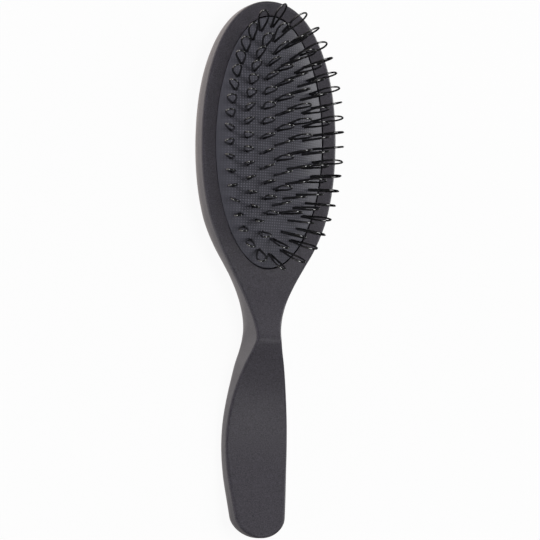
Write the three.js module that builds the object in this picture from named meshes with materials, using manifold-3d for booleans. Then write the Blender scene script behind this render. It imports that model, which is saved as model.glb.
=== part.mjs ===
// Oval cushion hair brush for the scalp: a one-piece handle and head, a domed rubber cushion held
// by its bead in a groove of the head, and looped nylon bristles that stand out of the cushion.
// Sizes are in millimetres. The brush lies on its flat back, with the bristles pointing up (+Z),
// the head towards +Y and X across. Heights below are measured from the rim of the head and
// lengths from the middle of the cushion, until the last group sets the brush on its back.

import * as THREE from 'three';
import { mergeVertices } from 'three/addons/utils/BufferGeometryUtils.js';
import Module from 'manifold-3d';

const wasm = await Module();
wasm.setup();

// Body: head, neck and handle in one piece
const HEAD_TOP = 63;                 // cushion's middle to the top of the head
const HANDLE_END = -176;             // cushion's middle to the end of the handle
const BODY_DEPTH = 18;               // rim of the head to the flat back
const HEAD_MIDDLE = -0.6;            // middle of the head's own oval
const HEAD_HALF_WIDTH = 33;
const HEAD_HALF_LENGTH = HEAD_TOP - HEAD_MIDDLE;
const HEAD_SQUARENESS = 2.15;        // 2 would be a plain ellipse
const HEAD_JOINS_NECK = -36;         // where the oval gives way to the neck
const END_ROUND_LENGTH = 9;          // length of the round end of the handle
const HEAD_SPINE_TOP = 30;           // the ends are rounded about these two points of the middle line
const HANDLE_SPINE_END = -163;
const BACK_FLAT_HALF = 1;            // the flat back is never narrower than this on either side
const EDGE_RADIUS = 1.4;             // round between the side wall and the front face

// Half width of neck and handle: [distance from the cushion's middle, half width]
const HALF_WIDTHS = [
  [-176, 10.7], [-160, 13.05], [-148, 14.4], [-136, 15.05], [-124, 14.55], [-112, 12.8], [-100, 9.75],
  [-92, 7], [-88, 6.1], [-80, 7.1], [-72, 9.9], [-64, 13.9], [-56, 18.5], [-48, 23.1],
];
// Height of the front face: level head, raised crease across the neck, scooped handle
const FRONT_HEIGHTS = [
  [-176, -1.1], [-160, -4.3], [-148, -6.9], [-136, -8], [-124, -7.4], [-112, -5.2], [-100, -1.1],
  [-91, 2.72], [-89.2, 3.35], [-88.6, 3.4], [-86.5, 3], [-80, 1.4], [-72, -0.2], [-62, -0.7], [-46, 0], [-36, 0],
];
// Depth of the round between the side wall and the back
const BACK_ROUNDS = [
  [-176, 12.5], [-164, 10.2], [-148, 6.8], [-130, 5.8], [-108, 7.2], [-94, 6.3], [-88, 7], [-82, 12.5],
  [-74, 15.5], [-56, 15], [-40, 13], [-30, 13],
];

// Cushion: a domed rubber skin with a skirt and a bead
const PAD_HALF_WIDTH = 26.6;
const PAD_HALF_LENGTH = 56.5;
const DOME_HEIGHT = 7.3;
const DOME_POWER = 2.5;              // fall of the dome from its middle to its edge
const SKIN = 2;                      // thickness of the rubber
const SLICE_GAP = 0.3;               // gap between neighbouring slices of the cushion
const SLICE_INSETS = [2.8, 9, 15.6, 22.6];   // cuts between the slices, from the cushion's edge in
const SKIRT_DEPTH = 5.4;
const SKIRT_THICKNESS = 1.6;
const BEAD_REACH = 0.9;
const BEAD_TOP = -3.1;
const BEAD_BOTTOM = -4.4;
const POCKET_DEPTH = 8.5;            // floor of the head's pocket below its rim
const SEAT_GAP = 0.3;                // play between the cushion and the head

// Bristles: closed loops of wire, in three oval rings and one middle row
const LOOP_LENGTH = 16.2;            // skin to tip
const LOOP_WIDTH = 4.3;
const WIRE = 0.6;
const LEG_SPACING = 1.2;             // between the two legs where they leave the skin
const ROOT_DEPTH = 1;                // length held inside the rubber
const TWIST = 0.33;                  // largest turn of a loop about its own length, radians
const GOLDEN_ANGLE = Math.PI * (3 - Math.sqrt(5));   // spreads those turns without a pattern
// The loops of a ring lean out from the upright by this slope, square to their oval
const RINGS = [
  { name: 'bristle_ring_outer', halfWidth: 20.4, halfLength: 51, places: 38, empty: [], lean: 0.53 },
  { name: 'bristle_ring_middle', halfWidth: 14.1, halfLength: 44.2, places: 32, empty: [], lean: 0.34 },
  { name: 'bristle_ring_inner', halfWidth: 6.8, halfLength: 38.4, places: 24, empty: [12], lean: 0.17 },
];
const ROW = { name: 'bristle_row_centre', top: 30.4, bottom: -29.5, places: 10 };

// Fineness of the curved surfaces
const HEAD_STEPS = 20;
const NECK_STEPS = 30;
const END_STEPS = 6;
const BACK_ROUND_STEPS = 4;
const EDGE_STEPS = 2;
const OVAL_STEPS = 32;
const TIP_STEPS = 5;
const WIRE_SIDES = 3;

const BODY_MATERIAL = { color: 0x39383b, roughness: 0.6, metalness: 0 };
const CUSHION_MATERIAL = { color: 0x43444a, roughness: 0.75, metalness: 0 };
const BRISTLE_MATERIAL = { color: 0x0b0b0c, roughness: 0.25, metalness: 0 };

// A smooth curve through a few [place, value] points, level where they turn back
function smoothThrough(points) {
  const sorted = [...points].sort((a, b) => a[0] - b[0]);
  const chords = sorted.slice(1).map((p, i) => (p[1] - sorted[i][1]) / (p[0] - sorted[i][0]));
  const slopes = sorted.map((p, i) => {
    const before = chords[Math.max(i - 1, 0)];
    const after = chords[Math.min(i, chords.length - 1)];
    return (before + after) / 2;
  });
  return (place) => {
    const last = sorted.length - 2;
    const found = sorted.findIndex((p, i) => i <= last && place <= sorted[i + 1][0]);
    const i = found < 0 ? last : found;
    const width = sorted[i + 1][0] - sorted[i][0];
    const t = THREE.MathUtils.clamp((place - sorted[i][0]) / width, 0, 1);
    const rise = 3 * t * t - 2 * t * t * t;
    const bend0 = t * (1 - t) * (1 - t) * width * slopes[i];
    const bend1 = t * t * (t - 1) * width * slopes[i + 1];
    return sorted[i][1] * (1 - rise) + sorted[i + 1][1] * rise + bend0 + bend1;
  };
}

function headHalfWidth(y) {
  const along = Math.abs(y - HEAD_MIDDLE) / HEAD_HALF_LENGTH;
  return HEAD_HALF_WIDTH * Math.max(0, 1 - along ** HEAD_SQUARENESS) ** (1 / HEAD_SQUARENESS);
}

const neckHalfWidth = smoothThrough([
  ...HALF_WIDTHS,
  [HEAD_JOINS_NECK, headHalfWidth(HEAD_JOINS_NECK)],
  [HEAD_JOINS_NECK + 6, headHalfWidth(HEAD_JOINS_NECK + 6)],
]);
const frontHeight = smoothThrough(FRONT_HEIGHTS);
const backRound = smoothThrough(BACK_ROUNDS);

function halfWidth(y) {
  if (y > HEAD_JOINS_NECK) return headHalfWidth(y);
  const intoEnd = Math.max(0, HANDLE_END + END_ROUND_LENGTH - y) / END_ROUND_LENGTH;
  return neckHalfWidth(y) * Math.sqrt(Math.max(0, 1 - intoEnd * intoEnd));
}

// Places along the middle line, closer together where the outline turns in at the two ends
function outlinePlaces() {
  const headTurn = Math.acos((HEAD_JOINS_NECK - HEAD_MIDDLE) / HEAD_HALF_LENGTH);
  const endStart = HANDLE_END + END_ROUND_LENGTH;
  const places = [];
  for (let i = 0; i < HEAD_STEPS; i++) {
    places.push(HEAD_MIDDLE + HEAD_HALF_LENGTH * Math.cos(headTurn * (i / HEAD_STEPS)));
  }
  for (let i = 0; i < NECK_STEPS; i++) {
    places.push(HEAD_JOINS_NECK + (endStart - HEAD_JOINS_NECK) * (i / NECK_STEPS));
  }
  for (let i = 0; i <= END_STEPS; i++) {
    places.push(endStart - END_ROUND_LENGTH * Math.sin((i / END_STEPS) * Math.PI / 2));
  }
  return places;
}

// Points of the section at one place of the outline, from the flat back up to the front face.
// Each moves in from the outline, straight across on the sides and towards the spine at the ends.
function sectionPoints(x, y) {
  const spineY = THREE.MathUtils.clamp(y, HANDLE_SPINE_END, HEAD_SPINE_TOP);
  const reach = Math.hypot(x, y - spineY);
  const front = frontHeight(y);
  const depth = backRound(y);
  const inset = Math.min(depth, reach - BACK_FLAT_HALF);
  const move = (distance, z) => {
    const left = (reach - distance) / reach;
    return new THREE.Vector3(x * left, spineY + (y - spineY) * left, z);
  };
  const points = [];
  for (let i = 0; i <= BACK_ROUND_STEPS; i++) {
    const turn = (i / BACK_ROUND_STEPS) * Math.PI / 2;
    points.push(move(inset * (1 - Math.sin(turn)), -BODY_DEPTH + depth * (1 - Math.cos(turn))));
  }
  for (let i = 0; i <= EDGE_STEPS; i++) {
    const turn = (i / EDGE_STEPS) * Math.PI / 2;
    points.push(move(EDGE_RADIUS * (1 - Math.cos(turn)), front - EDGE_RADIUS * (1 - Math.sin(turn))));
  }
  return points;
}

// A closed skin through the sections, with the front and the back closed by cross strips
function bodyGeometry() {
  const places = outlinePlaces();
  const last = places.length - 1;
  const right = places.map((y) => sectionPoints(halfWidth(y), y));
  const left = right.slice(1, last).reverse().map((section) => (
    section.map((p) => new THREE.Vector3(-p.x, p.y, p.z))
  ));
  const sections = [...right, ...left];
  const count = sections.length;
  const layers = sections[0].length;
  const positions = sections.flatMap((section) => section.flatMap((p) => [p.x, p.y, p.z]));
  const at = (place, layer) => ((place + count) % count) * layers + layer;
  const faces = [];
  for (let i = 0; i < count; i++) {
    for (let k = 0; k < layers - 1; k++) {
      faces.push(at(i, k), at(i, k + 1), at(i + 1, k));
      faces.push(at(i + 1, k), at(i, k + 1), at(i + 1, k + 1));
    }
  }
  for (let i = 0; i < last; i++) {
    const corners = (layer) => [at(i, layer), at(i + 1, layer), at(-i - 1, layer), at(-i, layer)];
    const [a, b, c, d] = corners(layers - 1);
    const [e, f, g, h] = corners(0);
    if (i < last - 1) faces.push(a, c, b, e, f, g);
    if (i > 0) faces.push(a, d, c, e, g, h);
  }
  const geometry = new THREE.BufferGeometry();
  geometry.setAttribute('position', new THREE.Float32BufferAttribute(positions, 3));
  geometry.setIndex(faces);
  return geometry;
}

// Joins and cuts need solids whose shared corners are single points
function toSolid(geometry) {
  geometry.deleteAttribute('normal');
  geometry.deleteAttribute('uv');
  const merged = mergeVertices(geometry, 1e-4);
  return new wasm.Manifold(new wasm.Mesh({
    numProp: 3,
    vertProperties: new Float32Array(merged.attributes.position.array),
    triVerts: new Uint32Array(merged.index.array),
  }));
}

function fromSolid(solid) {
  const skin = solid.getMesh();
  const geometry = new THREE.BufferGeometry();
  geometry.setAttribute('position', new THREE.Float32BufferAttribute(skin.vertProperties, 3));
  geometry.setIndex(new THREE.Uint32BufferAttribute(skin.triVerts, 1));
  geometry.computeVertexNormals();
  return geometry;
}

// An upright oval block that follows the cushion's outline, a little larger all round
function ovalBlock(outset, bottom, top) {
  const outline = new THREE.Shape();
  outline.absellipse(0, 0, PAD_HALF_WIDTH + outset, PAD_HALF_LENGTH + outset, 0, 2 * Math.PI);
  const settings = { depth: top - bottom, bevelEnabled: false, curveSegments: OVAL_STEPS / 2 };
  const geometry = new THREE.ExtrudeGeometry(outline, settings);
  geometry.translate(0, 0, bottom);
  return toSolid(geometry);
}

// The body with the pocket that the cushion breathes into and the groove that grips its bead
function brushBody() {
  const pocket = ovalBlock(SEAT_GAP, -POCKET_DEPTH, HEAD_TOP);
  const groove = ovalBlock(BEAD_REACH + SEAT_GAP, BEAD_BOTTOM - SEAT_GAP, BEAD_TOP + SEAT_GAP);
  return toSolid(bodyGeometry()).subtract(pocket).subtract(groove);
}

// How far out on the cushion a point is: 0 in the middle, 1 on its edge
function padRadius(x, y) {
  return Math.hypot(x / PAD_HALF_WIDTH, y / PAD_HALF_LENGTH);
}

function domeHeight(x, y) {
  return DOME_HEIGHT * Math.max(0, 1 - padRadius(x, y) ** DOME_POWER);
}

// A ring or disc of the cushion. Its profile, [inset from the cushion's edge, height], is turned
// about the middle and drawn out along Y, and what lies within the skin follows the dome.
function ovalSlice(profile) {
  const points = profile.map(([inset, z]) => new THREE.Vector2(PAD_HALF_WIDTH - inset, z));
  const geometry = new THREE.LatheGeometry(points, OVAL_STEPS);
  const drawnOut = PAD_HALF_LENGTH - PAD_HALF_WIDTH;
  for (let i = 0; i <= OVAL_STEPS; i++) {
    const turn = (i / OVAL_STEPS) * 2 * Math.PI;
    points.forEach((point, j) => {
      const x = point.x * Math.sin(turn);
      const y = (point.x + drawnOut) * Math.cos(turn);
      const lift = point.y >= -SKIN ? domeHeight(x, y) : 0;
      geometry.attributes.position.setXYZ(i * points.length + j, x, y, point.y + lift);
    });
  }
  return toSolid(geometry);
}

// The fixed edge of the cushion, with the skirt that lines the pocket and the bead in its groove
function cushionFlange() {
  const inner = SLICE_INSETS[0] - SLICE_GAP / 2;
  return ovalSlice([
    [inner, 0],
    [0, 0],
    [0, BEAD_TOP],
    [-BEAD_REACH, BEAD_TOP],
    [-BEAD_REACH, BEAD_BOTTOM],
    [0, BEAD_BOTTOM],
    [0, -SKIRT_DEPTH],
    [SKIRT_THICKNESS, -SKIRT_DEPTH],
    [SKIRT_THICKNESS, -SKIN],
    [inner, -SKIN],
    [inner, 0],
  ]);
}

// One of the slices that carry bristles, counted from the flange in
function cushionSlice(index) {
  const outer = SLICE_INSETS[index] + SLICE_GAP / 2;
  if (index === SLICE_INSETS.length - 1) {
    return ovalSlice([[PAD_HALF_WIDTH, 0], [outer, 0], [outer, -SKIN], [PAD_HALF_WIDTH, -SKIN]]);
  }
  const inner = SLICE_INSETS[index + 1] - SLICE_GAP / 2;
  const middle = (outer + inner) / 2;
  return ovalSlice([[inner, 0], [middle, 0], [outer, 0], [outer, -SKIN], [inner, -SKIN], [inner, 0]]);
}

// Centre line of a loop in its own plane, [across, along]: up one leg, round the tip, down the other
function loopPath() {
  const tipRadius = (LOOP_WIDTH - WIRE) / 2;
  const tipCentre = LOOP_LENGTH - LOOP_WIDTH / 2;
  const legTilt = Math.asin((tipRadius - LEG_SPACING / 2) / tipCentre);
  const path = [[LEG_SPACING / 2, -ROOT_DEPTH]];
  for (let i = 0; i <= TIP_STEPS; i++) {
    const turn = -legTilt + (i / TIP_STEPS) * (Math.PI + 2 * legTilt);
    path.push([tipRadius * Math.cos(turn), tipCentre + tipRadius * Math.sin(turn)]);
  }
  path.push([-LEG_SPACING / 2, -ROOT_DEPTH]);
  return path.map(([across, along]) => new THREE.Vector2(across, along));
}

// One loop standing on the skin: a wire of few sides swept along the loop's path
function bristleLoop({ place, lean }, twist) {
  const along = new THREE.Vector3(lean.x, lean.y, 1).normalize();
  const across = new THREE.Vector3(1, 0, 0).projectOnPlane(along).normalize();
  across.applyAxisAngle(along, twist);
  const through = new THREE.Vector3().crossVectors(across, along);
  const base = new THREE.Vector3(place.x, place.y, domeHeight(place.x, place.y));
  const path = loopPath();
  const wireRadius = WIRE * Math.sqrt(Math.PI / (2 * WIRE_SIDES * Math.sin(2 * Math.PI / WIRE_SIDES)));
  const positions = [];
  path.forEach((point, i) => {
    const before = path[Math.max(i - 1, 0)];
    const after = path[Math.min(i + 1, path.length - 1)];
    const heading = after.clone().sub(before).normalize();
    for (let k = 0; k < WIRE_SIDES; k++) {
      const turn = (k / WIRE_SIDES) * 2 * Math.PI;
      const out = wireRadius * Math.cos(turn);
      const corner = base.clone();
      corner.addScaledVector(across, point.x + heading.y * out);
      corner.addScaledVector(along, point.y - heading.x * out);
      corner.addScaledVector(through, wireRadius * Math.sin(turn));
      positions.push(corner.x, corner.y, corner.z);
    }
  });
  const faces = [0, 1, 2];
  for (let i = 0; i < path.length - 1; i++) {
    for (let k = 0; k < WIRE_SIDES; k++) {
      const here = i * WIRE_SIDES + k;
      const beside = i * WIRE_SIDES + (k + 1) % WIRE_SIDES;
      faces.push(here, here + WIRE_SIDES, beside);
      faces.push(beside, here + WIRE_SIDES, beside + WIRE_SIDES);
    }
  }
  const end = (path.length - 1) * WIRE_SIDES;
  faces.push(end, end + 2, end + 1);
  const geometry = new THREE.BufferGeometry();
  geometry.setAttribute('position', new THREE.Float32BufferAttribute(positions, 3));
  geometry.setIndex(faces);
  return toSolid(geometry);
}

// Evenly spaced loops round an oval ring, from its top, without the places that stay empty
function ringStands({ halfWidth: wide, halfLength: long, places, empty, lean }) {
  const oval = new THREE.EllipseCurve(0, 0, wide, long, Math.PI / 2, 2.5 * Math.PI);
  const kept = oval.getSpacedPoints(places).slice(0, places).filter((_, i) => !empty.includes(i));
  return kept.map((place) => {
    const outward = new THREE.Vector2(place.x / wide ** 2, place.y / long ** 2).normalize();
    return { place, lean: outward.multiplyScalar(lean) };
  });
}

// Evenly spaced loops along the middle row, which stand upright
function rowStands({ top, bottom, places }) {
  const step = (bottom - top) / (places - 1);
  return Array.from({ length: places }, (_, i) => (
    { place: new THREE.Vector2(0, top + i * step), lean: new THREE.Vector2(0, 0) }
  ));
}

// A slice of the cushion with its loops, each turned a little its own way
function bristleSlice(index, stands) {
  return stands.reduce((slice, stand, i) => {
    const twist = TWIST * Math.sin(GOLDEN_ANGLE * (i + 1) * (index + 1));
    return slice.add(bristleLoop(stand, twist));
  }, cushionSlice(index));
}

function piece(name, solid, material) {
  const mesh = new THREE.Mesh(fromSolid(solid), new THREE.MeshStandardMaterial(material));
  mesh.name = name;
  return mesh;
}

const brush = new THREE.Group();
brush.position.set(0, -(HEAD_TOP + HANDLE_END) / 2, BODY_DEPTH);
brush.add(piece('brush_body', brushBody(), BODY_MATERIAL));
brush.add(piece('cushion_flange', cushionFlange(), CUSHION_MATERIAL));
RINGS.forEach((ring, i) => {
  brush.add(piece(ring.name, bristleSlice(i, ringStands(ring)), BRISTLE_MATERIAL));
});
brush.add(piece(ROW.name, bristleSlice(RINGS.length, rowStands(ROW)), BRISTLE_MATERIAL));

export default brush;
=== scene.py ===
# %% [markdown]
# # An oval cushion brush, dressed for its portrait
# The brush has three kinds of piece: a matte black body that is head, neck and handle in one, a domed
# rubber cushion that snaps into the head, and rows of glossy nylon loops that stand in the cushion.
# The imported solids give the places and the motion. This lesson builds the finished surfaces over them,
# so the first step loads them and clears the selection.

import math

import bmesh
import bpy
from mathutils import Matrix, Vector


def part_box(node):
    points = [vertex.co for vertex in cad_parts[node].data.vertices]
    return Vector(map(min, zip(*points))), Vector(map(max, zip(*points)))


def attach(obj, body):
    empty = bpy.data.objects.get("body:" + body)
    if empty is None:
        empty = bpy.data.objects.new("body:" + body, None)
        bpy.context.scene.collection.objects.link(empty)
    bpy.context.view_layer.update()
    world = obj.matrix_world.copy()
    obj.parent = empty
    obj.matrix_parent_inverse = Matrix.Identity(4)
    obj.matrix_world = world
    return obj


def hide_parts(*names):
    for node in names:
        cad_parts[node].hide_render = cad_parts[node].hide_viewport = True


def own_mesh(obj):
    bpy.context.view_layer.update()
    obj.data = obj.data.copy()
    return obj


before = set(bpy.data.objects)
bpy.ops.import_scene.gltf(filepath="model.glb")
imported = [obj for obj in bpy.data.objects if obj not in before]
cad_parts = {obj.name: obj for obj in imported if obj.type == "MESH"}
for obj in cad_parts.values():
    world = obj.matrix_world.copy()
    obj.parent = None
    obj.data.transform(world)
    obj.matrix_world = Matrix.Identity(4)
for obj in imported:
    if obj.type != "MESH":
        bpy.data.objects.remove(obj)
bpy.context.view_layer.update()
bpy.ops.object.select_all(action="DESELECT")

# %% [markdown]
# ## Places that the frame gives
# Sizes are in metres. The box of the cushion's fixed edge shows where the cushion sits, and the box of
# the body gives the two ends of the brush. Working from the middle of the head, on its rim, keeps every
# later number small and easy to check against a ruler. The fixed edge ends in a bead that hides in the
# head, so the rubber that shows is smaller by the bead's reach. It is also drawn in a little when it is
# pressed home, and this one sits a hair to the left of the middle and towards the handle.

# %% Middle of the cushion, rim of the head, ends of the body
MM = 0.001
BODY_DEPTH = 18 * MM
HEAD_TOP = 63 * MM
BEAD_REACH = 0.9 * MM
DRAWN_IN_AT_SIDES = 0.45 * MM
DRAWN_IN_AT_ENDS = 0.15 * MM
OFF_MIDDLE = Vector((-0.4, -0.55, 0)) * MM

body_low, body_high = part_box("brush_body")
edge_low, edge_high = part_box("cushion_flange")
RIM_CENTRE = Vector((0, body_high.y - HEAD_TOP, body_low.z + BODY_DEPTH))
HANDLE_END = body_low.y - RIM_CENTRE.y
pad_middle = (edge_low + edge_high) / 2
PAD_SHIFT = Vector((0, pad_middle.y - RIM_CENTRE.y, 0)) + OFF_MIDDLE
PAD_HALF_WIDTH = edge_high.x - BEAD_REACH - DRAWN_IN_AT_SIDES
PAD_HALF_LENGTH = edge_high.y - pad_middle.y - BEAD_REACH - DRAWN_IN_AT_ENDS
print("cushion half sizes", PAD_HALF_WIDTH, PAD_HALF_LENGTH, "brush from", HANDLE_END, "to", HEAD_TOP)

# %% [markdown]
# ## The camera
# The picture looks down on the brush from a long way off, turned a little so that its left side shows.
# A long lens keeps the outlines nearly parallel. The camera comes first, because every later choice is
# judged through it. Its turn is built from three plain angles, which is easier to correct than a camera
# that was aimed by eye.

# %% Camera
TURN_ABOUT_LENGTH = math.radians(-25.355)
TIP_TO_HANDLE = math.radians(5.608)
ROLL = math.radians(1.014)
CAMERA_DISTANCE = 1.273
LENS_MM = 190.9
SENSOR_MM = 36
AIM = Vector((3.2, -57.18, -4.7)) * MM

bpy.ops.object.camera_add()
camera = bpy.context.object
camera.name = "portrait_camera"
camera.data.sensor_width = SENSOR_MM
camera.data.lens = LENS_MM
turn = Matrix.Rotation(TURN_ABOUT_LENGTH, 3, "Y") @ Matrix.Rotation(TIP_TO_HANDLE, 3, "X")
turn = turn @ Matrix.Rotation(ROLL, 3, "Z")
camera.rotation_euler = turn.to_euler()
camera.location = RIM_CENTRE + AIM + turn @ Vector((0, 0, CAMERA_DISTANCE))
bpy.context.scene.camera = camera
print("camera at", camera.location)

# %% [markdown]
# ## Drawing with rings
# Most of this brush is a stack of closed rings: the body is an outline that rises from the back to the
# front, and the cushion is an oval that shrinks to a point. By hand one would add a circle, extrude its
# edge and reshape the new ring, again and again. These helpers do just that. Each vertex carries its
# number round the ring, which an extrusion hands on, so the right vertex goes to the right place.


# %% Helpers for rings
def start_ring(name, points):
    bpy.ops.object.select_all(action="DESELECT")
    bpy.ops.mesh.primitive_circle_add(vertices=len(points))
    piece = bpy.context.object
    piece.name = name
    piece.data.name = name
    bpy.ops.object.mode_set(mode="EDIT")
    bpy.ops.mesh.select_mode(type="EDGE")
    cage = bmesh.from_edit_mesh(piece.data)
    number = cage.verts.layers.int.new("number")
    for place, vertex in enumerate(cage.verts):
        vertex[number] = place
    place_ring(piece, points)
    return piece


def place_ring(piece, points):
    cage = bmesh.from_edit_mesh(piece.data)
    number = cage.verts.layers.int["number"]
    for vertex in cage.verts:
        if vertex.select:
            vertex.co = RIM_CENTRE + points[vertex[number]]
    bmesh.update_edit_mesh(piece.data)


def next_ring(piece, points):
    bpy.ops.mesh.extrude_edges_move()
    place_ring(piece, points)


# %% Helpers for finishing a mesh
MERGE_DISTANCE = 0.001 * MM


def merge_and_face_outwards():
    bpy.ops.mesh.select_all(action="SELECT")
    bpy.ops.mesh.remove_doubles(threshold=MERGE_DISTANCE)
    bpy.ops.mesh.normals_make_consistent(inside=False)
    bpy.ops.object.mode_set(mode="OBJECT")


def close_piece(piece):
    merge_and_face_outwards()
    piece.data.attributes.remove(piece.data.attributes["number"])


def apply_modifier(piece, modifier):
    bpy.context.view_layer.objects.active = piece
    bpy.ops.object.modifier_apply(modifier=modifier.name)


def count(piece):
    return f"{piece.name}: {len(piece.data.vertices)} vertices, {len(piece.data.polygons)} faces"


# %% [markdown]
# ## The outline of the body
# The body is one moulding with a soft-touch skin. Its head is nearly an ellipse, a little squarer. The
# neck narrows to a waist and the handle swells again to a broad rounded end. A few measured half-widths
# with a smooth curve through them describe the neck and handle. The head is a formula, because a formula
# has no bumps. Places are in millimetres along the brush, from the middle of the head.


# %% Smooth curve through measured values
def smooth_through(points):
    places = [place for place, value in points]
    values = [value for place, value in points]
    last = len(points) - 1
    chords = [(values[i + 1] - values[i]) / (places[i + 1] - places[i]) for i in range(last)]
    slopes = [chords[0]]
    slopes += [(chords[i] + chords[i + 1]) / 2 for i in range(last - 1)]
    slopes += [chords[-1]]

    def value_at(place):
        if place <= places[0]:
            return values[0]
        if place >= places[-1]:
            return values[-1]
        i = max(k for k in range(last) if places[k] <= place)
        step = places[i + 1] - places[i]
        t = (place - places[i]) / step
        rise = (3 - 2 * t) * t * t
        bend = slopes[i] * t * (1 - t) ** 2 - slopes[i + 1] * t * t * (1 - t)
        return values[i] + (values[i + 1] - values[i]) * rise + step * bend

    return value_at


# %% Half-width of the body at each place
HEAD_MIDDLE = -0.6
HEAD_HALF_WIDTH = 33
HEAD_HALF_LENGTH = 63.6
HEAD_SQUARENESS = 2.15
HEAD_JOINS_NECK = -36
ABOVE_JOIN = -30
WAIST = -88
SWELL = -136
END_ROUND_LENGTH = 9
END_ROUND_START = HANDLE_END / MM + END_ROUND_LENGTH


def head_half_width(place):
    along = abs(place - HEAD_MIDDLE) / HEAD_HALF_LENGTH
    return HEAD_HALF_WIDTH * (1 - along**HEAD_SQUARENESS) ** (1 / HEAD_SQUARENESS)


neck_half_width = smooth_through([
    (-176, 11.1), (-160, 13.05), (-148, 14.4), (SWELL, 15.05), (-124, 14.55), (-112, 12.8),
    (-100, 9.75), (-92, 7), (WAIST, 6.1), (-80, 7.1), (-72, 9.9), (-64, 13.9), (-56, 18.5),
    (-48, 23.1),
    (HEAD_JOINS_NECK, head_half_width(HEAD_JOINS_NECK)),
    (ABOVE_JOIN, head_half_width(ABOVE_JOIN)),
])


def half_width(place):
    if place > HEAD_JOINS_NECK:
        return head_half_width(place)
    past_end = max(0, (END_ROUND_START - place) / END_ROUND_LENGTH)
    return neck_half_width(place) * math.sqrt(1 - past_end**2)


print("waist", 2 * half_width(WAIST), "mm wide, handle", 2 * half_width(SWELL), "mm wide")

# %% Places along the outline, from the head to the end of the handle
HEAD_STEPS = 72
NECK_STEPS = 84
END_STEPS = 18


def outline_places():
    lowest_angle = math.acos((HEAD_JOINS_NECK - HEAD_MIDDLE) / HEAD_HALF_LENGTH)
    head_angles = [(i + 0.5) / HEAD_STEPS * lowest_angle for i in range(HEAD_STEPS)]
    places = [HEAD_MIDDLE + HEAD_HALF_LENGTH * math.cos(angle) for angle in head_angles]
    neck_length = HEAD_JOINS_NECK - END_ROUND_START
    places += [HEAD_JOINS_NECK - neck_length * i / NECK_STEPS for i in range(NECK_STEPS)]
    end_angles = [(i + 0.5) / END_STEPS * math.pi / 2 for i in range(END_STEPS)]
    places += [END_ROUND_START - END_ROUND_LENGTH * math.sin(angle) for angle in end_angles]
    return places


places = outline_places()
print("outline of", 2 * len(places), "points")

# %% [markdown]
# ## The section of the body
# Cut across, the body has a flat back, a big round from the back into the side wall, and a small round
# where the wall meets the front. The front is flat from side to side but dips and rises along the
# brush: level round the cushion, up to a crease at the waist, then down into a scooped thumb grip. Near
# the two ends the rounds turn towards a spine inside the body, so that the ends come out evenly round.
# Heights are in millimetres from the rim of the head.

# %% Heights along the brush
EDGE_RADIUS = 1.4
EDGE_SUPPORT = 0.35
BACK_FLAT_HALF = 1
HEAD_SPINE_TOP = 30
HANDLE_SPINE_END = -163
BACK = -BODY_DEPTH / MM
CREASE = -88.6
SCOOP = -136

front_height = smooth_through([
    (-176, -1.1), (-160, -4.3), (-148, -6.9), (SCOOP, -8), (-124, -7.4), (-112, -5.2),
    (-100, -1.1), (-91, 2.72), (-89.2, 3.35), (CREASE, 3.4), (-86.5, 3), (-80, 1.4),
    (-72, -0.2), (-62, -0.7), (-46, 0), (-36, 0),
])
back_round = smooth_through([
    (-176, 12.5), (-164, 10.2), (-148, 6.8), (-130, 5.8), (-108, 7.2), (-94, 6.3), (WAIST, 7),
    (-82, 12.5), (-74, 15.5), (-56, 15), (-40, 13), (-30, 13),
])


def right_angles(steps):
    return [i / steps * math.pi / 2 for i in range(steps + 1)]


print("crease", front_height(CREASE), "mm above the rim, scoop", front_height(SCOOP), "mm")

# %% One section, from the flat of the back to the flat of the front
BACK_STEPS = 12
WALL_STEPS = 4
EDGE_STEPS = 7


def section(place):
    outer = Vector((half_width(place), place))
    spine = Vector((0, min(max(place, HANDLE_SPINE_END), HEAD_SPINE_TOP)))
    inward = (spine - outer).normalized()
    turn_height = back_round(place)
    turn_inset = min(turn_height, (outer - spine).length - BACK_FLAT_HALF)
    wall_bottom = BACK + turn_height
    rows = []
    for angle in right_angles(BACK_STEPS):
        at = outer + inward * turn_inset * (1 - math.sin(angle))
        rows.append((at, BACK + turn_height * (1 - math.cos(angle))))
    wall_top = front_height(place) - EDGE_RADIUS
    for i in range(1, WALL_STEPS):
        rows.append((outer, wall_bottom + (wall_top - wall_bottom) * i / WALL_STEPS))
    for angle in right_angles(EDGE_STEPS):
        at = outer + inward * EDGE_RADIUS * (1 - math.cos(angle))
        rows.append((at, front_height(at.y) - EDGE_RADIUS * (1 - math.sin(angle))))
    at = outer + inward * (EDGE_RADIUS + EDGE_SUPPORT)
    rows.append((at, front_height(at.y)))
    return rows


sections = [section(place) for place in places]
print(len(sections[0]), "rings in each section")

# %% [markdown]
# ## Raising the body, ring by ring
# The first ring is the flat of the back, closed with one face. Every next ring follows the section: the
# big round, the wall, the small round and a support ring just inside it, which stops the smooth shading
# of the round from spilling over the flat front. Bridging the right half of the last ring to the left
# half closes the front with straight strips across, which is just how the moulded front is shaped.


# %% Body
def body_ring(row):
    right = [rows[row] for rows in sections]
    points = [Vector((at.x, at.y, height)) * MM for at, height in right]
    mirrored = [Vector((-point.x, point.y, point.z)) for point in reversed(points)]
    return points + mirrored


def crosses_middle(edge):
    return edge.verts[0].co.x * edge.verts[1].co.x < 0


body = start_ring("body_shell", body_ring(0))
bpy.ops.mesh.edge_face_add()
for row in range(1, len(sections[0])):
    next_ring(body, body_ring(row))
cage = bmesh.from_edit_mesh(body.data)
for edge in cage.edges:
    if edge.select and crosses_middle(edge):
        edge.select_set(False)
bpy.ops.mesh.bridge_edge_loops()
close_piece(body)
print(count(body))

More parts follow.
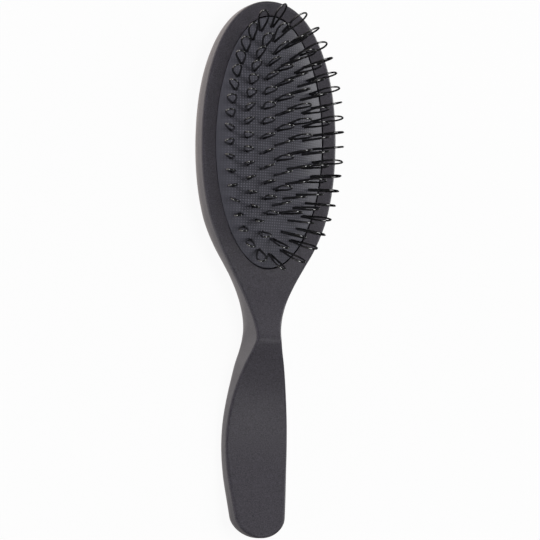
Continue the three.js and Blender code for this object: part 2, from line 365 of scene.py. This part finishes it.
# %% [markdown]
# ## The pocket for the cushion
# The head is hollowed where the cushion snaps in. A cutter is modelled as a stack of ovals, a little
# larger than the cushion, with a mouth that flares by a round of a fraction of a millimetre. Cutting it
# out leaves a softened lip, and the lip's shadow draws the thin dark line round the cushion. The rubber
# doesn't sit quite in the middle of its pocket, so the line is wider on the right than on the left.


# %% Ovals
OVAL_STEPS = 144


def oval(half_wide, half_long, height, centre=PAD_SHIFT):
    angles = [i / OVAL_STEPS * 2 * math.pi for i in range(OVAL_STEPS)]
    middle = centre + Vector((0, 0, height))
    return [middle + Vector((half_wide * math.cos(a), half_long * math.sin(a), 0)) for a in angles]


def pad_oval(outset, height):
    return oval(PAD_HALF_WIDTH + outset, PAD_HALF_LENGTH + outset, height)


# %% Cut the pocket
POCKET_DEPTH = 8.5 * MM
SEAM_AT_SIDES = 0.3 * MM
SEAM_AT_ENDS = 0.6 * MM
POCKET_RIGHT_OF_PAD = 0.2 * MM
LIP_RADIUS = 0.2 * MM
LIP_STEPS = 3
CUTTER_ABOVE = 3 * MM

pocket_middle = PAD_SHIFT + Vector((POCKET_RIGHT_OF_PAD, 0, 0))


def pocket_oval(flare, height):
    half_wide = PAD_HALF_WIDTH + SEAM_AT_SIDES + flare
    half_long = PAD_HALF_LENGTH + SEAM_AT_ENDS + flare
    return oval(half_wide, half_long, height, pocket_middle)


cutter = start_ring("pocket_cutter", pocket_oval(0, -POCKET_DEPTH))
bpy.ops.mesh.edge_face_add()
for angle in right_angles(LIP_STEPS):
    flare = LIP_RADIUS * (1 - math.cos(angle))
    next_ring(cutter, pocket_oval(flare, LIP_RADIUS * (math.sin(angle) - 1)))
next_ring(cutter, pocket_oval(LIP_RADIUS, CUTTER_ABOVE))
bpy.ops.mesh.edge_face_add()
close_piece(cutter)

pocket = body.modifiers.new("pocket", "BOOLEAN")
pocket.operation = "DIFFERENCE"
pocket.solver = "EXACT"
pocket.object = cutter
apply_modifier(body, pocket)
bpy.data.objects.remove(cutter)
print(count(body))

# %% [markdown]
# ## Smooth rounds and flat flats
# On the real moulding the rounds flow and the front is dead flat. Shading smooth by angle smooths every
# edge that turns by less than the sharp angle, and leaves the corner at the bottom of the pocket crisp.
# Weighted normals then let the large faces decide, so the front stays flat right up to its round.

# %% Smooth the body's rounds and keep its flats flat
SHARP_ANGLE = math.radians(40)


def shade_by_angle(piece, angle):
    bpy.ops.object.select_all(action="DESELECT")
    piece.select_set(True)
    bpy.context.view_layer.objects.active = piece
    bpy.ops.object.shade_smooth_by_angle(angle=angle)


shade_by_angle(body, SHARP_ANGLE)
flats = body.modifiers.new("flats", "WEIGHTED_NORMAL")
flats.keep_sharp = True
apply_modifier(body, flats)
print("body shaded,", len(body.data.polygons), "faces")

# %% [markdown]
# ## The cushion
# The cushion is a thin rubber dome, blown up a little from an oval and tucked into the pocket. Its
# height falls away from the middle by a power of the distance, flat on top and steeper near the edge.
# The ring starts at the tucked lip, rolls over the edge and shrinks to the middle, where it is merged.
# Solidify then gives the skin its thickness on the inside.

# %% Height of the cushion
DOME_HEIGHT = 7.3 * MM
DOME_POWER = 2.5


def dome_height(point):
    off_middle = point - PAD_SHIFT
    from_middle = math.hypot(off_middle.x / PAD_HALF_WIDTH, off_middle.y / PAD_HALF_LENGTH)
    return DOME_HEIGHT * max(0, 1 - from_middle**DOME_POWER)


def on_dome(half_wide, half_long, sink=0):
    points = oval(half_wide, half_long, 0)
    return [Vector((point.x, point.y, dome_height(point) - sink)) for point in points]


half_way_out = PAD_SHIFT + Vector((PAD_HALF_WIDTH / 2, 0, 0))
print("dome", DOME_HEIGHT, "high in the middle,", dome_height(half_way_out), "half-way out")

# %% Raise the cushion
SKIN_THICKNESS = 1.6 * MM
TUCK_DEPTH = 2.6 * MM
TUCK_INSET = 0.5 * MM
EDGE_ROLL = 0.3 * MM
EDGE_ROLL_STEPS = 4
DOME_STEPS = 34

skin = start_ring("cushion_skin", pad_oval(-TUCK_INSET, -TUCK_DEPTH))
next_ring(skin, pad_oval(0, -TUCK_DEPTH + TUCK_INSET))
for angle in right_angles(EDGE_ROLL_STEPS):
    inset = EDGE_ROLL * (1 - math.cos(angle))
    sink = EDGE_ROLL * (1 - math.sin(angle))
    next_ring(skin, on_dome(PAD_HALF_WIDTH - inset, PAD_HALF_LENGTH - inset, sink))
first_share = 1 - 2 * EDGE_ROLL / PAD_HALF_WIDTH
for i in range(DOME_STEPS):
    share = first_share * (1 - i / DOME_STEPS)
    next_ring(skin, on_dome(PAD_HALF_WIDTH * share, PAD_HALF_LENGTH * share))
bpy.ops.mesh.extrude_edges_move()
bpy.ops.mesh.merge(type="CENTER")
close_piece(skin)

wall = skin.modifiers.new("wall", "SOLIDIFY")
wall.thickness = SKIN_THICKNESS
wall.offset = -1
apply_modifier(skin, wall)
shade_by_angle(skin, SHARP_ANGLE)
print(count(skin), "top", max(vertex.co.z for vertex in skin.data.vertices))

# %% [markdown]
# ## One nylon loop
# Each bristle is a nylon wire bent double: both legs come out of one hole in the rubber, bow apart and
# meet in a round tip, so that nothing sharp meets the scalp. By hand this is a Bezier curve of five
# points: two feet, the widest place of each leg and the tip. A bevel gives the curve its thickness, and
# the feet are a little thicker, which closes the hole. Six sides are enough for so thin a wire, once it
# is smooth, so the curve becomes a light mesh.

# %% Five points of a loop
WIRE_RADIUS = 0.42 * MM
LOOP_LENGTH = 16.25 * MM
LOOP_WIDTH = 4.95 * MM
LEG_AT_SKIN = 0.3 * MM
ROOT_DEPTH = 2.6 * MM
WIDEST_PLACE = 10.6 * MM
FOOT_SPREAD = 1.8
FOOT_PULL = 0.16
LEG_PULL = 0.62
ROUNDNESS = 0.57

reach = LOOP_WIDTH / 2 - WIRE_RADIUS
tip = LOOP_LENGTH - WIRE_RADIUS


def mirrored(point):
    return (-point[0], 0, point[2])


foot = (LEG_AT_SKIN, 0, -ROOT_DEPTH)
foot_handle = (FOOT_SPREAD * LEG_AT_SKIN, 0, FOOT_PULL * LOOP_LENGTH)
widest = (reach, 0, WIDEST_PLACE)
leg_handle = (reach, 0, LEG_PULL * WIDEST_PLACE)
shoulder_handle = (reach, 0, WIDEST_PLACE + ROUNDNESS * (tip - WIDEST_PLACE))
tip_handle = (ROUNDNESS * reach, 0, tip)
loop_points = [
    (foot, foot, foot_handle),
    (widest, leg_handle, shoulder_handle),
    ((0, 0, tip), tip_handle, mirrored(tip_handle)),
    (mirrored(widest), mirrored(shoulder_handle), mirrored(leg_handle)),
    (mirrored(foot), mirrored(foot_handle), mirrored(foot)),
]
print("loop through", len(loop_points), "points, widest", round(2 * reach / MM, 2), "mm")

# %% Bend the wire
bpy.ops.object.select_all(action="DESELECT")
bpy.ops.curve.primitive_bezier_curve_add()
loop = bpy.context.object
loop.name = "loop_pattern"
bpy.ops.object.mode_set(mode="EDIT")
bpy.ops.curve.select_all(action="SELECT")
bpy.ops.curve.subdivide(number_cuts=len(loop_points) - 2)
bpy.ops.object.mode_set(mode="OBJECT")
bends = loop.data.splines[0].bezier_points
for bend, (at, before, after) in zip(bends, loop_points):
    bend.handle_left_type = "FREE"
    bend.handle_right_type = "FREE"
    bend.co = at
    bend.handle_left = before
    bend.handle_right = after
print("wire of", len(bends), "bends")

# %% Give the wire its thickness and make it a mesh
SPAN_STEPS = 4
BEVEL_STEPS = 1
FOOT_SWELL = 1.5
ROUND_ANGLE = math.radians(70)

wire = loop.data
wire.splines[0].bezier_points[0].radius = FOOT_SWELL
wire.splines[0].bezier_points[-1].radius = FOOT_SWELL
wire.splines[0].resolution_u = SPAN_STEPS
wire.resolution_u = SPAN_STEPS
wire.bevel_depth = WIRE_RADIUS
wire.bevel_resolution = BEVEL_STEPS
wire.use_fill_caps = True
bpy.ops.object.convert(target="MESH")
loop = bpy.context.object
bpy.ops.object.mode_set(mode="EDIT")
merge_and_face_outwards()
shade_by_angle(loop, ROUND_ANGLE)
print(count(loop), [round(size / MM, 2) for size in loop.dimensions])

# %% [markdown]
# ## Planting the loops
# The loops stand in three ovals and one middle row, evenly spaced along each. A loop leans out, square to
# its own oval, and each oval leans more than the one inside it, so the outer loops fan over the rim. All
# loops also fan a little along the brush, towards its two ends, as the blown-up dome spreads them.
# Machines plant them with small turns to either side, which a golden-angle rule repeats without any
# pattern that the eye can find. One place of the inner oval, at the handle end, stays empty. Each loop is
# a copy with a mesh of its own, and the loops of one row are joined into one piece.

# %% Fan along the brush
FAN_PER_METRE = 0.95
FAN_MIDDLE = -14 * MM


def fan_along(place):
    return Vector((0, FAN_PER_METRE * (place.y - FAN_MIDDLE), 0))


print("fan at the head end", fan_along(Vector((0, PAD_HALF_LENGTH, 0))).y)

# %% Ovals and row of the loops
OVALS = {
    "outer": {"half_wide": 20.4 * MM, "half_long": 51 * MM, "loops": 38, "lean": 0.53},
    "middle": {"half_wide": 14.1 * MM, "half_long": 44.2 * MM, "loops": 32, "lean": 0.34},
    "inner": {"half_wide": 6.8 * MM, "half_long": 38.4 * MM, "loops": 24, "lean": 0.17},
}
EMPTY_INNER_PLACE = 12
ROW_TOP = 30.4 * MM
ROW_BOTTOM = -29.5 * MM
ROW_LOOPS = 10
FIRST_LOOP = 0.4 * MM
FINE_STEPS = 2000


def oval_point(half_wide, half_long, angle):
    return Vector((half_wide * math.cos(angle), half_long * math.sin(angle), 0))


def oval_stands(half_wide, half_long, loops, lean):
    angles = [math.pi / 2 + 2 * math.pi * i / FINE_STEPS for i in range(FINE_STEPS + 1)]
    fine = [oval_point(half_wide, half_long, angle) for angle in angles]
    lengths = [0]
    for i in range(FINE_STEPS):
        lengths.append(lengths[-1] + (fine[i + 1] - fine[i]).length)
    stands = []
    i = 0
    for k in range(loops):
        wanted = FIRST_LOOP + lengths[-1] * k / loops
        while lengths[i + 1] <= wanted:
            i += 1
        share = (wanted - lengths[i]) / (lengths[i + 1] - lengths[i])
        place = fine[i].lerp(fine[i + 1], share)
        outward = Vector((place.x / half_wide**2, place.y / half_long**2, 0)).normalized()
        stands.append((place, lean * outward + fan_along(place)))
    return stands


loop_stands = {row: oval_stands(**size) for row, size in OVALS.items()}
del loop_stands["inner"][EMPTY_INNER_PLACE]
row_step = (ROW_BOTTOM - ROW_TOP) / (ROW_LOOPS - 1)
row_places = [Vector((0, ROW_TOP + row_step * i, 0)) for i in range(ROW_LOOPS)]
loop_stands["centre"] = [(place, fan_along(place)) for place in row_places]
print({row: len(stands) for row, stands in loop_stands.items()})


# %% Stand of one loop on the dome
LOOPS_MIDDLE = Vector((OFF_MIDDLE.x, 0, 0))


def loop_stand(place, lean, twist):
    along = (lean + Vector((0, 0, 1))).normalized()
    across = Vector((1, 0, 0))
    across = (across - along * across.dot(along)).normalized()
    through = along.cross(across)
    turned = Matrix((across, through, along)).transposed() @ Matrix.Rotation(twist, 3, "Z")
    on_skin = place + LOOPS_MIDDLE
    foot_place = RIM_CENTRE + on_skin + Vector((0, 0, dome_height(on_skin)))
    return Matrix.Translation(foot_place) @ turned.to_4x4()


# %% Plant the loops row by row
TWIST = 0.33
GOLDEN_ANGLE = math.pi * (3 - math.sqrt(5))


def plant(row, row_number):
    copies = []
    for i, (place, lean) in enumerate(loop_stands[row]):
        twist = TWIST * math.sin(GOLDEN_ANGLE * (i + 1) * (row_number + 1))
        bpy.ops.object.select_all(action="DESELECT")
        loop.select_set(True)
        bpy.context.view_layer.objects.active = loop
        bpy.ops.object.duplicate(linked=False)
        copy = bpy.context.object
        copy.matrix_world = loop_stand(place, lean, twist)
        bpy.ops.object.transform_apply()
        copies.append(copy)
    for copy in copies:
        copy.select_set(True)
    bpy.context.view_layer.objects.active = copies[0]
    bpy.ops.object.join()
    joined = bpy.context.object
    joined.name = f"loops_{row}"
    joined.data.name = joined.name
    return joined


loop_rows = {row: plant(row, number) for number, row in enumerate(loop_stands)}
bpy.data.objects.remove(loop)
for joined in loop_rows.values():
    print(count(joined))

# %% [markdown]
# ## A shared effect for the finishes
# All three materials have fine grain: the tiny unevenness of moulded plastic, rubber and drawn nylon,
# with a slow mottle that keeps large faces from looking printed. Both are noise on Object coordinates,
# so they stay where they are when a piece moves. A node group holds them, so they are built once, and
# each material sets its own scale. The helper feed does what the mouse does in the node editor: it
# links one socket to another, or types a plain value into a socket.


# %% Node helpers
def feed(tree, source, socket):
    if isinstance(source, bpy.types.NodeSocket):
        tree.links.new(source, socket)
    else:
        socket.default_value = source


def calculate(tree, operation, *sources):
    node = tree.nodes.new("ShaderNodeMath")
    node.operation = operation
    for source, socket in zip(sources, node.inputs):
        feed(tree, source, socket)
    return node.outputs["Value"]


def ramp(tree, source, start, end, smooth=False):
    node = tree.nodes.new("ShaderNodeMapRange")
    if smooth:
        node.interpolation_type = "SMOOTHSTEP"
    feed(tree, source, node.inputs["Value"])
    feed(tree, start, node.inputs["From Min"])
    feed(tree, end, node.inputs["From Max"])
    return node.outputs["Result"]


def new_group(name, inputs, outputs):
    group = bpy.data.node_groups.new(name, "ShaderNodeTree")
    for socket_name, kind in inputs:
        group.interface.new_socket(socket_name, in_out="INPUT", socket_type=kind)
    for socket_name, kind in outputs:
        group.interface.new_socket(socket_name, in_out="OUTPUT", socket_type=kind)
    return group, group.nodes.new("NodeGroupInput"), group.nodes.new("NodeGroupOutput")


# %% Fine grain
GRAIN_DETAIL = 2
GRAIN_LOW = 0.25
GRAIN_HIGH = 0.75
MOTTLE_DETAIL = 3
MOTTLE_RATIO = 0.04

grain, grain_in, grain_out = new_group(
    "fine_grain",
    [("Vector", "NodeSocketVector"), ("Scale", "NodeSocketFloat")],
    [("Grain", "NodeSocketFloat"), ("Mottle", "NodeSocketFloat")],
)


def grain_noise(scale, detail):
    node = grain.nodes.new("ShaderNodeTexNoise")
    feed(grain, grain_in.outputs["Vector"], node.inputs["Vector"])
    feed(grain, scale, node.inputs["Scale"])
    feed(grain, detail, node.inputs["Detail"])
    return node.outputs[0]


fine_scale = grain_in.outputs["Scale"]
fine = grain_noise(fine_scale, GRAIN_DETAIL)
slow = grain_noise(calculate(grain, "MULTIPLY", fine_scale, MOTTLE_RATIO), MOTTLE_DETAIL)
feed(grain, ramp(grain, fine, GRAIN_LOW, GRAIN_HIGH), grain_out.inputs["Grain"])
feed(grain, slow, grain_out.inputs["Mottle"])
print("group", grain.name, [node.bl_idname for node in grain.nodes])


# %% Material helpers
def new_material(name):
    material = bpy.data.materials.new(name)
    material.use_nodes = True
    tree = material.node_tree
    shader = tree.nodes["Principled BSDF"]
    place = tree.nodes.new("ShaderNodeTexCoord")
    return material, tree, shader, place.outputs["Object"]


def add_group(tree, group, vector, **values):
    node = tree.nodes.new("ShaderNodeGroup")
    node.node_tree = group
    feed(tree, vector, node.inputs["Vector"])
    for name, value in values.items():
        feed(tree, value, node.inputs[name])
    return node


def value_between(tree, share, low, high):
    node = tree.nodes.new("ShaderNodeMix")
    feed(tree, share, node.inputs["Factor"])
    feed(tree, low, node.inputs["A"])
    feed(tree, high, node.inputs["B"])
    return node.outputs["Result"]


def colour_between(tree, share, low, high):
    node = tree.nodes.new("ShaderNodeMix")
    node.data_type = "RGBA"
    feed(tree, share, node.inputs["Factor"])
    colours = [socket for socket in node.inputs if socket.type == "RGBA"]
    for colour, socket in zip((low, high), colours):
        feed(tree, colour, socket)
    return [socket for socket in node.outputs if socket.type == "RGBA"][0]


def bumped(tree, height, depth, strength, under=None):
    node = tree.nodes.new("ShaderNodeBump")
    feed(tree, height, node.inputs["Height"])
    feed(tree, depth, node.inputs["Distance"])
    feed(tree, strength, node.inputs["Strength"])
    if under:
        feed(tree, under, node.inputs["Normal"])
    return node.outputs["Normal"]


# %% [markdown]
# ## Soft-touch black for the body
# The body has a dry, slightly warm black skin with a very fine tooth. It is dark grey rather than black
# in the light, with no sharp reflections. Grain lifts the surface by a few hundredths of a millimetre
# and moves its colour a little, and the slow mottle changes how dry it looks from place to place.

# %% Body material
BODY_DARK = (0.018, 0.0165, 0.0205, 1)
BODY_PALE = (0.068, 0.0625, 0.077, 1)
BODY_SMOOTHEST = 0.38
BODY_ROUGHEST = 0.48
BODY_GRAIN_SCALE = 2100
TOOTH_HEIGHT = 0.03 * MM
BODY_TOOTH_STRENGTH = 0.6

soft_touch, tree, shader, place = new_material("soft_touch_black")
tooth = add_group(tree, grain, place, Scale=BODY_GRAIN_SCALE)
tone = colour_between(tree, tooth.outputs["Grain"], BODY_DARK, BODY_PALE)
dryness = value_between(tree, tooth.outputs["Mottle"], BODY_SMOOTHEST, BODY_ROUGHEST)
lifted = bumped(tree, tooth.outputs["Grain"], TOOTH_HEIGHT, BODY_TOOTH_STRENGTH)
feed(tree, tone, shader.inputs["Base Color"])
feed(tree, dryness, shader.inputs["Roughness"])
feed(tree, lifted, shader.inputs["Normal"])
body.data.materials.append(soft_touch)
print(soft_touch.name, len(tree.nodes), "nodes")

# %% [markdown]
# ## Dotted rubber for the cushion
# The mould of the cushion is cut with a fine grid of dots, a little over a millimetre apart, so that wet
# hair doesn't stick. The dots come from the fraction of the Object coordinates across and along the
# brush: each square of the grid holds one dot, higher and paler than the rubber round it and a little
# longer along the brush. The field of dots fades out past the outer loops, and the slope outside it is
# smooth. The grid has a group of its own, which keeps the tree of the rubber short.

# %% Grid of dots
SQUARE_MIDDLE = (0.5, 0.5, 0.5)
DOT_SHAPE = (1, 0.84, 0)
DOT_EDGE = 0.3
DOT_TOP = 0.08

dots, dots_in, dots_out = new_group(
    "moulded_dots",
    [("Vector", "NodeSocketVector"), ("Pitch", "NodeSocketFloat")],
    [("Dot", "NodeSocketFloat")],
)


def on_vector(tree, operation, *sources):
    node = tree.nodes.new("ShaderNodeVectorMath")
    node.operation = operation
    for source, socket in zip(sources, node.inputs):
        feed(tree, source, socket)
    return node.outputs["Value" if operation == "LENGTH" else "Vector"]


pitch = dots.nodes.new("ShaderNodeCombineXYZ")
for socket in pitch.inputs:
    feed(dots, dots_in.outputs["Pitch"], socket)
squares = on_vector(dots, "DIVIDE", dots_in.outputs["Vector"], pitch.outputs["Vector"])
in_square = on_vector(dots, "FRACTION", squares)
from_dot = on_vector(dots, "SUBTRACT", in_square, SQUARE_MIDDLE)
from_dot = on_vector(dots, "MULTIPLY", from_dot, DOT_SHAPE)
distance = on_vector(dots, "LENGTH", from_dot)
feed(dots, ramp(dots, distance, DOT_EDGE, DOT_TOP, smooth=True), dots_out.inputs["Dot"])
print("group", dots.name, len(dots.nodes), "nodes")

# %% Field of the dots
DOT_PITCH = 1.17 * MM
FIELD_FULL = 0.75
FIELD_END = 1.35
SMOOTH_SHARE = 0.13

rubber, tree, shader, place = new_material("dotted_rubber")
dot = add_group(tree, dots, place, Pitch=DOT_PITCH)
field_wide = OVALS["outer"]["half_wide"]
field_long = OVALS["outer"]["half_long"]
field_middle = RIM_CENTRE + LOOPS_MIDDLE
field = tree.nodes.new("ShaderNodeMapping")
feed(tree, place, field.inputs["Vector"])
feed(tree, (1 / field_wide, 1 / field_long, 0), field.inputs["Scale"])
feed(tree, (-field_middle.x / field_wide, -field_middle.y / field_long, 0), field.inputs["Location"])
from_middle = on_vector(tree, "LENGTH", field.outputs["Vector"])
in_field = ramp(tree, from_middle, FIELD_END, FIELD_FULL, smooth=True)
raised = value_between(tree, in_field, SMOOTH_SHARE, dot.outputs["Dot"])
print("dots", DOT_PITCH, "apart, field", FIELD_END * field_wide, "by", FIELD_END * field_long)

# %% Cushion material
RUBBER_DARK = (0.053, 0.0525, 0.064, 1)
RUBBER_PALE = (0.15, 0.148, 0.178, 1)
RUBBER_SMOOTHEST = 0.45
RUBBER_ROUGHEST = 0.6
RUBBER_GLOSS = 0.35
RUBBER_GRAIN_SCALE = 1800
RUBBER_TOOTH_STRENGTH = 0.2
DOT_HEIGHT = 0.08 * MM
DOT_STRENGTH = 0.6

tooth = add_group(tree, grain, place, Scale=RUBBER_GRAIN_SCALE)
tone = colour_between(tree, raised, RUBBER_DARK, RUBBER_PALE)
dryness = value_between(tree, tooth.outputs["Mottle"], RUBBER_SMOOTHEST, RUBBER_ROUGHEST)
rough = bumped(tree, tooth.outputs["Grain"], TOOTH_HEIGHT, RUBBER_TOOTH_STRENGTH)
lifted = bumped(tree, raised, DOT_HEIGHT, DOT_STRENGTH, rough)
feed(tree, tone, shader.inputs["Base Color"])
feed(tree, dryness, shader.inputs["Roughness"])
feed(tree, lifted, shader.inputs["Normal"])
feed(tree, RUBBER_GLOSS, shader.inputs["Specular IOR Level"])
skin.data.materials.append(rubber)
print(rubber.name, len(tree.nodes), "nodes")

# %% [markdown]
# ## Glossy nylon for the loops
# The wire is drawn nylon, dyed through and shiny, so it shows a bright glint where it bends over at the
# tip. Its black is deeper than the body's. The grain only breaks the gloss a little along the wire.

# %% Nylon material
NYLON_DARK = (0.002, 0.002, 0.002, 1)
NYLON_PALE = (0.005, 0.005, 0.0055, 1)
NYLON_SMOOTHEST = 0.08
NYLON_ROUGHEST = 0.14
NYLON_GLOSS = 0.55
NYLON_GRAIN_SCALE = 900

nylon, tree, shader, place = new_material("glossy_nylon")
drawn = add_group(tree, grain, place, Scale=NYLON_GRAIN_SCALE)
tone = colour_between(tree, drawn.outputs["Mottle"], NYLON_DARK, NYLON_PALE)
polish = value_between(tree, drawn.outputs["Grain"], NYLON_SMOOTHEST, NYLON_ROUGHEST)
feed(tree, tone, shader.inputs["Base Color"])
feed(tree, polish, shader.inputs["Roughness"])
feed(tree, NYLON_GLOSS, shader.inputs["Specular IOR Level"])
for joined in loop_rows.values():
    joined.data.materials.append(nylon)
print(nylon.name, len(tree.nodes), "nodes")

# %% [markdown]
# ## Floor of white paper
# The picture is a cut-out on white. The brush lies on a sheet that is part glow and part plain white
# paint for the camera: the glow makes it white and the paint keeps a soft shadow under the brush. In
# the gloss of the brush, the sheet is a painted reflection: it glows for glossy rays only, and only on
# the left, so the side wall shows it where the view grazes it and the right edge shows none. The painted
# reflection is a little warm, brighter beside the head and fading by the end of the handle. The Light
# Path node tells what the camera sees from what the gloss sees.

# %% Floor
FLOOR_SIZE = 6
FLOOR_DROP = 0.05 * MM

bpy.ops.object.select_all(action="DESELECT")
bpy.ops.mesh.primitive_plane_add(size=FLOOR_SIZE, location=(0, 0, -FLOOR_DROP))
floor = bpy.context.object
floor.name = "studio_floor"
print("floor", floor.dimensions[:])

# %% Painted reflection of the paper in the gloss
WHITE = (1, 1, 1, 1)
BLACK = (0, 0, 0, 1)
PAINTED_REFLECTION_BY_HANDLE = (1.05, 1, 0.97, 1)
PAINTED_REFLECTION_BY_HEAD = (1.52, 1.39, 1.31, 1)
PAINTED_REFLECTION_BY_END = (0.55, 0.52, 0.51, 1)
HANDLE_PLACE = 0
HEAD_PLACE = 0.06
LAST_BRIGHT_PLACE = -0.095
END_PLACE = -0.122
PAINTED_REFLECTION_EDGE = 0.02
PAINTED_REFLECTION_FADE = 0.03

# Painted reflection: for glossy rays only, the sheet glows warm and brighter beside the head, fades
# towards the handle end and is black on the right, where the edge shows no reflection.
paper, tree, paint, place = new_material("white_paper_painted_reflection")
axes = tree.nodes.new("ShaderNodeSeparateXYZ")
feed(tree, place, axes.inputs["Vector"])
headward = ramp(tree, axes.outputs["Y"], HANDLE_PLACE, HEAD_PLACE)
endward = ramp(tree, axes.outputs["Y"], LAST_BRIGHT_PLACE, END_PLACE)
leftward = ramp(tree, axes.outputs["X"], PAINTED_REFLECTION_EDGE, PAINTED_REFLECTION_EDGE - PAINTED_REFLECTION_FADE)
painted_reflection = colour_between(tree, headward, PAINTED_REFLECTION_BY_HANDLE, PAINTED_REFLECTION_BY_HEAD)
painted_reflection = colour_between(tree, endward, painted_reflection, PAINTED_REFLECTION_BY_END)
painted_reflection = colour_between(tree, leftward, BLACK, painted_reflection)
print(paper.name, "shines left of", PAINTED_REFLECTION_EDGE)

# %% Paper material
PAINT = (0.8, 0.8, 0.8, 1)
PAINT_ROUGHNESS = 1
PAINT_GLOSS = 0
FLOOR_GLOW = 0.94

rays = tree.nodes.new("ShaderNodeLightPath")
glow = tree.nodes.new("ShaderNodeEmission")
# Glossy rays see the painted reflection, and the camera sees the plain white glow.
feed(tree, colour_between(tree, rays.outputs["Is Glossy Ray"], WHITE, painted_reflection), glow.inputs["Color"])
camera_share = calculate(tree, "MULTIPLY", rays.outputs["Is Camera Ray"], FLOOR_GLOW)
glow_share = calculate(tree, "MAXIMUM", camera_share, rays.outputs["Is Glossy Ray"])
feed(tree, PAINT, paint.inputs["Base Color"])
feed(tree, PAINT_ROUGHNESS, paint.inputs["Roughness"])
feed(tree, PAINT_GLOSS, paint.inputs["Specular IOR Level"])
sheet = tree.nodes.new("ShaderNodeMixShader")
feed(tree, glow_share, sheet.inputs["Fac"])
feed(tree, paint.outputs["BSDF"], sheet.inputs[1])
feed(tree, glow.outputs["Emission"], sheet.inputs[2])
feed(tree, sheet.outputs["Shader"], tree.nodes["Material Output"].inputs["Surface"])
floor.data.materials.append(paper)
print(paper.name, len(tree.nodes), "nodes")

# %% [markdown]
# ## World
# The world is white for the camera alone, and dark for everything else. A white sky would lie as a veil
# of gloss over every face that looks up, and black plastic would come out grey.

# %% World
world = bpy.data.worlds.new("white_studio")
bpy.context.scene.world = world
world.use_nodes = True
tree = world.node_tree
tree.nodes.clear()
rays = tree.nodes.new("ShaderNodeLightPath")
sky = tree.nodes.new("ShaderNodeBackground")
feed(tree, WHITE, sky.inputs["Color"])
feed(tree, rays.outputs["Is Camera Ray"], sky.inputs["Strength"])
world_out = tree.nodes.new("ShaderNodeOutputWorld")
feed(tree, sky.outputs["Background"], world_out.inputs["Surface"])
print("world", world.name)

# %% [markdown]
# ## Softboxes
# Most of the softboxes stand low and round about, so the slopes of the cushion are brighter than its
# top, which shows the dome. Two fills, one overhead and one on the left, light the colours without a
# mirror image in the gloss. Two weak ones higher up give the front a faint sheen.

# %% Softboxes
LAMP_DISTANCE = 1.4
LAMP_WIDE = 0.8
LAMP_HIGH = 0.5


def softbox(name, bearing, elevation, watts, wide=LAMP_WIDE, high=LAMP_HIGH, mirrored_in_gloss=True):
    round_about = math.radians(bearing)
    up = math.radians(elevation)
    level = Vector((math.cos(round_about), math.sin(round_about), 0))
    away = level * math.cos(up) + Vector((0, 0, math.sin(up)))
    bpy.ops.object.light_add(type="AREA", location=away * LAMP_DISTANCE)
    lamp = bpy.context.object
    lamp.name = name
    lamp.data.shape = "RECTANGLE"
    lamp.data.size = wide
    lamp.data.size_y = high
    lamp.data.energy = watts
    lamp.rotation_euler = (-away).to_track_quat("-Z", "Y").to_euler()
    lamp.visible_camera = False
    lamp.visible_glossy = mirrored_in_gloss
    return lamp


softbox("overhead_fill", bearing=0, elevation=88, watts=12.3, mirrored_in_gloss=False)
softbox("left_fill", bearing=150, elevation=5, watts=14.5, mirrored_in_gloss=False)
softbox("right_low", bearing=19, elevation=5, watts=13.2)
softbox("upper_left_low", bearing=150, elevation=5, watts=2.4)
softbox("lower_left_low", bearing=210, elevation=5, watts=3.6)
softbox("lower_right_low", bearing=300, elevation=5, watts=3.2)
softbox("upper_right", bearing=60, elevation=40, watts=1.7)
softbox("over_right", bearing=330, elevation=62, watts=2.4)
print("softboxes", len(bpy.data.lights))

# %% [markdown]
# ## Strips for the glints
# The loops are the only glossy pieces, and their glints need long bright strips on both sides. On the
# body and the rubber the same strips would be too strong, so light linking lets them light the nylon
# alone: the rows of loops are put in a collection, and each strip is told to light that collection.

# %% Strips
STRIP_WIDE = 1.6
STRIP_HIGH = 0.6

nylon_loops = bpy.data.collections.new("nylon_loops")
for joined in loop_rows.values():
    nylon_loops.objects.link(joined)


def glint_strip(name, bearing, elevation, watts):
    strip = softbox(name, bearing, elevation, watts, wide=STRIP_WIDE, high=STRIP_HIGH)
    strip.light_linking.receiver_collection = nylon_loops


glint_strip("left_strip", bearing=180, elevation=25, watts=46)
glint_strip("right_strip", bearing=0, elevation=8, watts=10)
print("lamps", [light.name for light in bpy.data.lights])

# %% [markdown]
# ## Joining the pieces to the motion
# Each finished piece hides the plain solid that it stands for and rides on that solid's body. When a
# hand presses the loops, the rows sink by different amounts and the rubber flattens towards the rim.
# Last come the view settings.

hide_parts("brush_body")
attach(body, "handle")
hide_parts("cushion_flange")
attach(skin, "handle")
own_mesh(skin)
loop_nodes = {
    "outer": "bristle_ring_outer",
    "middle": "bristle_ring_middle",
    "inner": "bristle_ring_inner",
    "centre": "bristle_row_centre",
}
for row, joined in loop_rows.items():
    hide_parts(loop_nodes[row])
    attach(joined, f"cushion_{row}")

# %% View settings
bpy.context.scene.view_settings.view_transform = "Standard"
